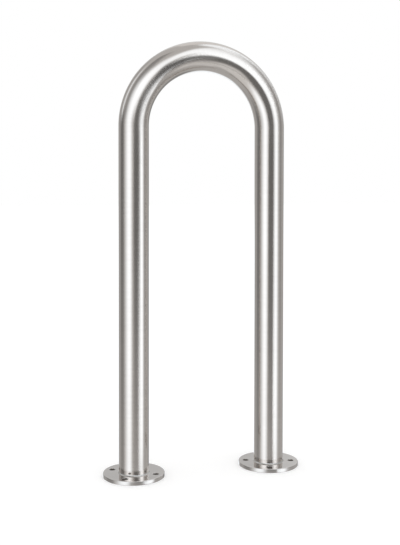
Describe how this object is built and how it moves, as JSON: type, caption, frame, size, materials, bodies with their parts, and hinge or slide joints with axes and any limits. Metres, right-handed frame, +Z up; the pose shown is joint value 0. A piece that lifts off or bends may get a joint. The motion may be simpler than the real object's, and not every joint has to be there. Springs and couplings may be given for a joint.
{
  "type": "hoop bike rack",
  "caption": "Inverted-U hoop of satin stainless steel tube welded to round bolt-down base plates; a bicycle leans against it and is locked to it.",
  "frame": {"origin": "on the ground, midway between the axes of the legs", "axes": "+Z up, +X from the left leg's axis to the right leg's, +Y through the hoop, away from the side seen in the picture"},
  "size_m": [0.407, 0.123, 0.8679],
  "materials": {
    "satin_tube": "satin-polished stainless tube, fine grain round the tube",
    "satin_plate": "satin-polished stainless plate, fine straight grain",
    "dressed_weld": "dressed and polished weld bead",
    "root_weld": "as-laid weld bead, pickled dull"
  },
  "bodies": {
    "root": {"hoop_tube": "satin_tube", "left_base_plate": "satin_plate", "right_base_plate": "satin_plate", "left_top_weld": "dressed_weld", "right_top_weld": "dressed_weld", "left_root_weld": "root_weld", "right_root_weld": "root_weld"}
  },
  "joints": []
}
